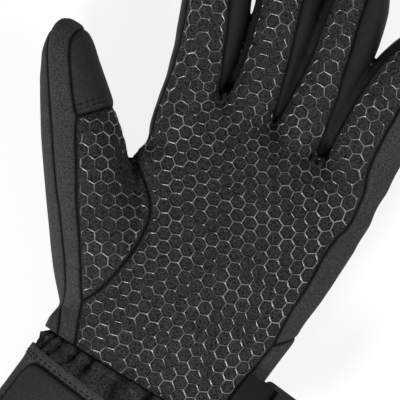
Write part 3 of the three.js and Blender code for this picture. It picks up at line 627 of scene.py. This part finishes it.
def drop_scraps(form):
    """Leave out the short scraps of line that the seams cut off."""
    seen, scraps = set(), []
    for start in form.verts:
        if start in seen:
            continue
        seen.add(start)
        island = [start]
        for vert in island:
            for edge in vert.link_edges:
                neighbour = edge.other_vert(vert)
                if neighbour not in seen:
                    seen.add(neighbour)
                    island.append(neighbour)
        if len(island) < SCRAP:
            scraps.extend(island)
    bmesh.ops.delete(form, geom=scraps, context="VERTS")


def grip_lines(name, piece, centre, reach, turn, half_width, half_length):
    """The honeycomb's lines, carried onto a sewn panel and closed by a base in its cloth."""
    laid = laid_flat(piece, centre, reach)
    mesh = piece.data
    points, normals = points_of(mesh), normals_of(mesh)
    seam_reach = np.empty(len(points))
    mesh.attributes["from_seam"].data.foreach_get("value", seam_reach)
    corners = [tuple(polygon.vertices) for polygon in mesh.polygons]
    flat_tree = bvhtree.BVHTree.FromPolygons([(u, v, 0) for u, v in laid], corners)

    # Inset each cell twice, so that a line has a crest, and a shoulder and a foot on each side.
    form = honeycomb(half_width, half_length, turn)
    bmesh.ops.subdivide_edges(form, edges=form.edges, cuts=LINE_CUTS)
    form.verts.ensure_lookup_table()
    rise = form.verts.layers.float.new("rise")
    for vert in form.verts:
        vert[rise] = LINE_HEIGHT
    for share in LINE_SIDES:
        cells = [face for face in form.faces if len(face.verts) > 4]
        before = set(form.verts)
        bmesh.ops.inset_individual(form, faces=cells, thickness=LINE_STEP, use_even_offset=True)
        for vert in form.verts:
            if vert not in before:
                vert[rise] = LINE_HEIGHT * share
    cells = [face for face in form.faces if len(face.verts) > 4]
    bmesh.ops.delete(form, geom=cells, context="FACES_ONLY")

    # Carry each point from the flat cloth onto the panel; what misses the panel is left out.
    missed = []
    for vert in form.verts:
        hit, _, face, _ = flat_tree.ray_cast(Vector((vert.co.x, vert.co.y, 1)), -UP)
        if face is None:
            missed.append(vert)
            continue
        ring = list(corners[face])
        weights = np.array(interpolate.poly_3d_calc([Vector((*laid[i], 0)) for i in ring], hit))
        place = weights @ points[ring]
        near_seam = weights @ seam_reach[ring] < SEAM_MARGIN
        if near_seam or np.linalg.norm((place - CRUMPLED)[:2]) < BARE:
            missed.append(vert)
            continue
        normal = weights @ normals[ring]
        vert.co = Vector(place) + Vector(normal / np.linalg.norm(normal)) * vert[rise]
    bmesh.ops.delete(form, geom=missed, context="VERTS")
    loose = [vert for vert in form.verts if not vert.link_faces]
    bmesh.ops.delete(form, geom=loose, context="VERTS")
    drop_scraps(form)
    line_mesh = bpy.data.meshes.new(name)
    form.to_mesh(line_mesh)
    form.free()
    lines = placed(name, line_mesh)
    base = lines.modifiers.new("base", "SOLIDIFY")
    base.thickness = LINE_SUNK
    base.offset = -1
    return lines


# The silicone is black and glossy. The lighter noise patches in its colour are painted glints, and
# its lines are darkened towards their feet with painted shadow.
silicone, tree, shader, place = shaded("silicone", 0.3, specular=1.0)
painted_line_light = toned(
    tree, speckled(tree, place, 150, detail=3), dark=(0.006, 0.006, 0.006),
    light=(0.27, 0.27, 0.25), dark_at=0.42, light_at=0.70)
painted_line_light = with_painted_shade(tree, painted_line_light, "rise", LINE_HEIGHT * LINE_CREST, LINE_HEIGHT, LINE_FOOT_PAINTED_SHADOW)
tree.links.new(painted_line_light, shader.inputs["Base Color"])

palm_lines = grip_lines(
    "palm_grip_lines", panels["palm_panel"], centre=np.array((0.020, 0.000)), reach=0.022,
    turn=math.radians(-8), half_width=0.12, half_length=0.15)
thumb_lines = grip_lines(
    "thumb_grip_lines", panels["thumb_panel"], centre=np.array((-0.040, 0.005)), reach=0.012,
    turn=math.radians(28), half_width=0.06, half_length=0.06)
for lines in (palm_lines, thumb_lines):
    lines.data.materials.append(silicone)

# The cuff: a straight gauntlet of softshell, a front panel set into it, a padded rim at the wrist
# and a turned hem at its mouth. Its panels are sewn and cut in the same way as the hand's.
CUFF_PANELS = ["cuff_front", "cuff_shell", "cuff_hem"]
CUFF_CLOTHS = [touch_cloth, softshell, softshell]
CUFF_TURN = math.radians(-8.5)
CUFF_LENGTH = 0.074
CUFF_TOP = HAND_ORIGIN + Vector((-0.00312, -0.0116, 0.023))
CUFF_TRIM = 0.0008
CUFF_EDGE = 0.0009
CUFF_SHARP = math.radians(60)
cuff_across = Vector((math.cos(CUFF_TURN), math.sin(CUFF_TURN), 0))
cuff_down = Vector((math.sin(CUFF_TURN), -math.cos(CUFF_TURN), 0))
cuff_skin = sewn_skin(
    CUFF_PANELS,
    [(CUFF_TOP + cuff_down * CUFF_TRIM, -cuff_down),
     (CUFF_TOP + cuff_down * (CUFF_LENGTH - CUFF_TRIM), cuff_down)],
    smoothing=30, dip=0.0008, swell=0.0006, swell_reach=0.003, pucker=0.0002, slack=0.0004,
    grow=0.0006)
for name, cloth in zip(CUFF_PANELS, CUFF_CLOTHS):
    panels[name] = cut_panel(name, cuff_skin, CUFF_PANELS)
    panels[name].data.materials.append(cloth)
    edge = panels[name].modifiers.new("edge", "BEVEL")
    edge.width = CUFF_EDGE
    edge.segments = 3
    edge.limit_method = "ANGLE"
    edge.angle_limit = CUFF_SHARP

# The stitches: short bars of twisted thread, laid end to end, that sink a little into the cloth.
# Two rows hold the cuff's rim, apart from where the cuff lies flat.
STITCH_LENGTH = 0.0021
STITCH_GAP = 0.0008
THREAD = 0.00032
THREAD_RAISED = 0.35
RIM_ROWS = (0.0040, 0.0052)
RIM_OUTSIDE = 0.08
FLATTENED = 0.0012
thread, tree, shader, place = shaded("thread", 0.6)
twist = toned(
    tree, speckled(tree, place, 3000), dark=(0.003, 0.003, 0.003), light=(0.012, 0.012, 0.012))
tree.links.new(twist, shader.inputs["Base Color"])


def stitch_row(form, line):
    """Stitches laid end to end along a line of (place, normal) pairs on the cloth."""
    places = [place for place, _ in line]
    walked = [0]
    for one, other in zip(places, places[1:]):
        walked.append(walked[-1] + (other - one).length)
    pitch = STITCH_LENGTH + STITCH_GAP
    for number in range(int(walked[-1] / pitch)):
        ends = []
        for along in (number * pitch, number * pitch + STITCH_LENGTH):
            k = min(max(1, int(np.searchsorted(walked, along))), len(walked) - 1)
            share = (along - walked[k - 1]) / max(walked[k] - walked[k - 1], 1e-9)
            ends.append((places[k - 1].lerp(places[k], share), line[k][1]))
        (one, normal), (other, _) = ends
        run = (other - one).normalized()
        side = normal.cross(run).normalized()
        up = run.cross(side)
        shape = Matrix((
            (*run * STITCH_LENGTH / 2, 0), (*side * THREAD, 0), (*up * THREAD, 0), (0, 0, 0, 1)))
        middle = Matrix.Translation((one + other) / 2 + up * THREAD * THREAD_RAISED)
        bmesh.ops.create_icosphere(
            form, subdivisions=1, radius=1, matrix=middle @ shape.transposed())


def stitches(name, lines):
    """Rows of stitches as one piece."""
    form = bmesh.new()
    for line in lines:
        stitch_row(form, line)
    mesh = bpy.data.meshes.new(name)
    form.to_mesh(mesh)
    form.free()
    mesh.materials.append(thread)
    placed(name, mesh)


cuff_tree = tree_of(points_of(cuff_skin), cuff_skin)
rim_lines = []
for down in RIM_ROWS:
    line = []
    for degrees in range(-90, 271):
        turn = math.radians(degrees)
        out = cuff_across * math.cos(turn) + UP * math.sin(turn)
        start = CUFF_TOP + cuff_down * down + out * RIM_OUTSIDE
        hit, normal, _, _ = cuff_tree.ray_cast(start, -out)
        if hit and hit.z > FLATTENED:
            line.append((hit, normal))
    rim_lines.append(line)
stitches("rim_stitches", rim_lines)

# The touch patch on the thumb: its lower edge is turned under and sewn down with two rows.
# A row rises from its start to its end, in shares of the thumb's length and width.
HEM_ROWS = ((0.6340, 0.6560), (0.6530, 0.6750))
HEM_SIDES = (-0.075, 0.50)
HEM_STEPS = 24
ABOVE = 0.1
hand_tree = tree_of(points_of(hand_skin), hand_skin)


def on_thumb(share, side):
    """A place on the thumb, by shares of its length and width."""
    return THUMB_ROOT + Vector(THUMB_WAY * share * THUMB_LENGTH + THUMB_OUT * side * THUMB_WIDTH)


def seen_from_above(place):
    """The hand's surface and normal straight below a place."""
    hit, normal, _, _ = hand_tree.ray_cast(Vector((place.x, place.y, ABOVE)), -UP)
    return hit, normal


hem_lines = []
for low, high in HEM_ROWS:
    shares = np.linspace(low, high, HEM_STEPS + 1)
    sides = np.linspace(*HEM_SIDES, HEM_STEPS + 1)
    row = [seen_from_above(on_thumb(share, side)) for share, side in zip(shares, sides)]
    hem_lines.append([(hit, normal) for hit, normal in row if hit])
stitches("touch_patch_stitches", hem_lines)

# The tucks at the foot of each gap between the fingers: the strip's end is folded back on itself
# and sewn into the palm, which leaves a small loop of cloth. Each has its place and its lean.
TUCKS = (((-0.0091, 0.0640), 17), ((0.0155, 0.0660), 10), ((0.0391, 0.0592), 7))
TUCK_REACH = 0.0018
TUCK_THICK = 0.00100
TUCK_SIDES = 14
TUCK_TAIL = (0, 0.003, -0.0012)
TUCK_BACK = 1.3
TUCK_SUNK = 0.2
tuck_cloth = fabric(
    "tuck_cloth", dark=(0.004, 0.004, 0.004), light=(0.026, 0.026, 0.025), grain=1800,
    roughness=0.85, knit=2600, depth=0.0001, seams=False)
for number, ((x, y), lean) in enumerate(TUCKS, 1):
    form = bmesh.new()
    ring = bmesh.ops.create_circle(form, radius=TUCK_THICK, segments=TUCK_SIDES)["verts"]
    bmesh.ops.rotate(form, verts=ring, matrix=Matrix.Rotation(math.radians(90), 3, "X"))
    bmesh.ops.translate(form, verts=ring, vec=(TUCK_REACH, 0, 0))
    spun = bmesh.ops.spin(
        form, geom=form.verts[:] + form.edges[:], cent=(0, 0, 0), axis=(0, 0, -1),
        angle=math.radians(180), steps=TUCK_SIDES)["geom_last"]
    for end in (ring, [part for part in spun if isinstance(part, bmesh.types.BMVert)]):
        edges = {edge for vert in end for edge in vert.link_edges if edge.other_vert(vert) in end}
        longer = bmesh.ops.extrude_edge_only(form, edges=list(edges))["geom"]
        moved = [part for part in longer if isinstance(part, bmesh.types.BMVert)]
        bmesh.ops.translate(form, verts=moved, vec=TUCK_TAIL)
        mouth = [part for part in longer if isinstance(part, bmesh.types.BMEdge)]
        bmesh.ops.contextual_create(form, geom=mouth)
    bmesh.ops.recalc_face_normals(form, faces=form.faces)
    turned = Matrix.Rotation(math.radians(lean), 4, "Z")
    foot, _ = seen_from_above(Vector((x, y, 0)) + turned @ Vector((0, -TUCK_REACH * TUCK_BACK, 0)))
    place = Matrix.Translation((x, y, foot.z - TUCK_THICK * TUCK_SUNK))
    bmesh.ops.transform(form, verts=form.verts, matrix=place @ turned)
    mesh = bpy.data.meshes.new(f"tuck_{number}")
    form.to_mesh(mesh)
    form.free()
    mesh.materials.append(tuck_cloth)
    tuck = placed(f"tuck_{number}", mesh)
    crown = tuck.modifiers.new("crown", "SUBSURF")
    crown.levels = crown.render_levels = 1

# The wrist band: thin softshell gathered on elastic between the palm's hem and the cuff's rim.
# The elastic draws the cloth into uneven upright folds, and its top edge is tucked under the hem.
BAND_VOXEL = 0.0006
BAND_RELAXING = 8
BAND_LENGTH = 0.017
BAND_MIDDLE = HAND_ORIGIN + Vector((-0.00536, 0, 0.0198))
BAND_HALF = (0.0434, 0.0176)
BAND_TURN = math.radians(-4.5)
BAND_SQUARE = 2.4
RING_STEPS = 1440
FOLD_PITCH = 0.0068
FOLD_DEPTH = 0.0020
FOLD_DIP = 2.6
FOLD_SHARPNESS = 2.2
FOLD_SLANT = 0.5
FOLD_BENDS = 5
FOLD_SHIFT = 2.5
LOOSE_ROUND = 5
LOOSE_DOWN = 0.8
LOOSE_BEND = 7
LOOSE_DEPTH = 0.8
CREASE_DEPTH = 0.0003
CREASE_SCALE = 500
BAND_SWELL = 0.0032
TUCKED_SHARE = 0.13
TUCKED_IN = 0.0022
TUCKED_UP = 0.0026
band_mesh = closed_skin(["wrist_band"], BAND_VOXEL)
band_points = relaxed(points_of(band_mesh), edges_of(band_mesh), BAND_RELAXING)

# Each point's place in the band: across and up in half widths, and down from hem to rim.
band_across = np.array((math.cos(BAND_TURN), math.sin(BAND_TURN), 0))
offset = band_points - np.array(BAND_MIDDLE)
side, up = offset @ band_across / BAND_HALF[0], offset[:, 2] / BAND_HALF[1]
down = offset @ np.array(wrist_way) / BAND_LENGTH
outward = side[:, None] * band_across / BAND_HALF[0] + up[:, None] * np.array(UP) / BAND_HALF[1]
outward /= np.linalg.norm(outward, axis=1)[:, None]


def powered(value, power):
    return np.sign(value) * np.abs(value) ** power


# The folds are spaced evenly along the band's rounded outline.
power = BAND_SQUARE / 2
round_wrist = np.arctan2(powered(side, power), powered(up, power))
turns = np.linspace(-math.pi, math.pi, RING_STEPS + 1)
ring_x = BAND_HALF[0] * powered(np.cos(turns), 1 / power)
ring_z = BAND_HALF[1] * powered(np.sin(turns), 1 / power)
round_ring = np.concatenate(((0,), np.cumsum(np.hypot(np.diff(ring_x), np.diff(ring_z)))))
folds = round(round_ring[-1] / FOLD_PITCH)
fold_turn = np.interp(round_wrist, turns, round_ring / round_ring[-1] * 2 * math.pi * folds)
shown = np.clip(1 - down, 0, 1) ** 0.5
for i, point in enumerate(band_points):
    turn = round_wrist[i]
    loose = noise.noise(Vector((
        math.cos(turn) * LOOSE_ROUND, math.sin(turn) * LOOSE_ROUND, down[i] * LOOSE_DOWN)))
    bend = FOLD_SLANT * math.sin(down[i] * FOLD_BENDS + LOOSE_BEND * loose)
    wave = math.cos(fold_turn[i] + bend + FOLD_SHIFT * loose)
    crest = 1 - FOLD_DIP * (1 - (wave + 1) / 2) ** FOLD_SHARPNESS
    push = BAND_SWELL * shown[i] + FOLD_DEPTH * crest * shown[i] * (1 + LOOSE_DEPTH * loose)
    push += CREASE_DEPTH * noise.noise(Vector(point) * CREASE_SCALE)
    tucked = max(0.0, 1 - max(down[i], 0) / TUCKED_SHARE)
    point += outward[i] * (push * (1 - tucked) - TUCKED_IN * tucked)
    point -= np.array(wrist_way) * TUCKED_UP * tucked
band_points[:, 2] = np.maximum(band_points[:, 2], 0)
move_points(band_mesh, band_points)
band = placed("wrist_band_cloth", band_mesh)
gathered_cloth = fabric(
    "gathered_cloth", dark=(0.016, 0.016, 0.016), light=(0.070, 0.070, 0.070), grain=1100,
    roughness=0.8, knit=2600, depth=0.0001, seams=False)
band_mesh.materials.append(gathered_cloth)
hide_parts("wrist_band")

# The wrist strap: black woven webbing, a short tab sewn to the outer side and a long end that
# comes round behind the wrist. Both are looped through a flat moulded buckle.
WEB_EDGE = 0.00045
BUCKLE_EDGE = 0.0007
FLAT = math.radians(1)


def softened(name, node, width, sharp, segments):
    """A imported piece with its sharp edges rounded."""
    form = merged_copy(node)
    bmesh.ops.dissolve_limit(form, angle_limit=FLAT, verts=form.verts, edges=form.edges)
    sharp_edges = [edge for edge in form.edges if edge.calc_face_angle(0) > math.radians(sharp)]
    bmesh.ops.bevel(
        form, geom=sharp_edges, offset=width, offset_type="OFFSET", segments=segments,
        profile=0.5, affect="EDGES", material=-1, clamp_overlap=True)
    mesh = bpy.data.meshes.new(name)
    form.to_mesh(mesh)
    form.free()
    piece = placed(name, mesh)
    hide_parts(node)
    return piece


webbing, tree, shader, place = shaded("webbing", 0.8)
along = tree.nodes.new("ShaderNodeMapping")
along.inputs["Rotation"].default_value = (0, 0, -CUFF_TURN)
tree.links.new(place, along.inputs["Vector"])
ribs = tree.nodes.new("ShaderNodeTexWave")
ribs.inputs["Scale"].default_value = 560
ribs.inputs["Distortion"].default_value = 2
ribs.inputs["Detail Scale"].default_value = 3
tree.links.new(along.outputs["Vector"], ribs.inputs["Vector"])
woven = toned(tree, ribs.outputs["Fac"], dark=(0.002, 0.002, 0.002), light=(0.017, 0.017, 0.017))
tree.links.new(woven, shader.inputs["Base Color"])
raised(tree, shader, ribs.outputs["Fac"], strength=0.5, distance=0.0002)
for node in ("strap_tab", "wrist_strap"):
    strap = softened(node + "_web", node, WEB_EDGE, sharp=50, segments=2)
    strap.data.materials.append(webbing)

moulded, tree, shader, place = shaded("moulded_plastic", 0.32, specular=0.5)
grain = speckled(tree, place, 1800, detail=3)
plain = toned(tree, grain, dark=(0.006, 0.006, 0.006), light=(0.012, 0.012, 0.012))
tree.links.new(plain, shader.inputs["Base Color"])
raised(tree, shader, grain, strength=0.15, distance=0.0001)
buckle = softened("buckle_moulding", "buckle", BUCKLE_EDGE, sharp=40, segments=3)
buckle.data.materials.append(moulded)
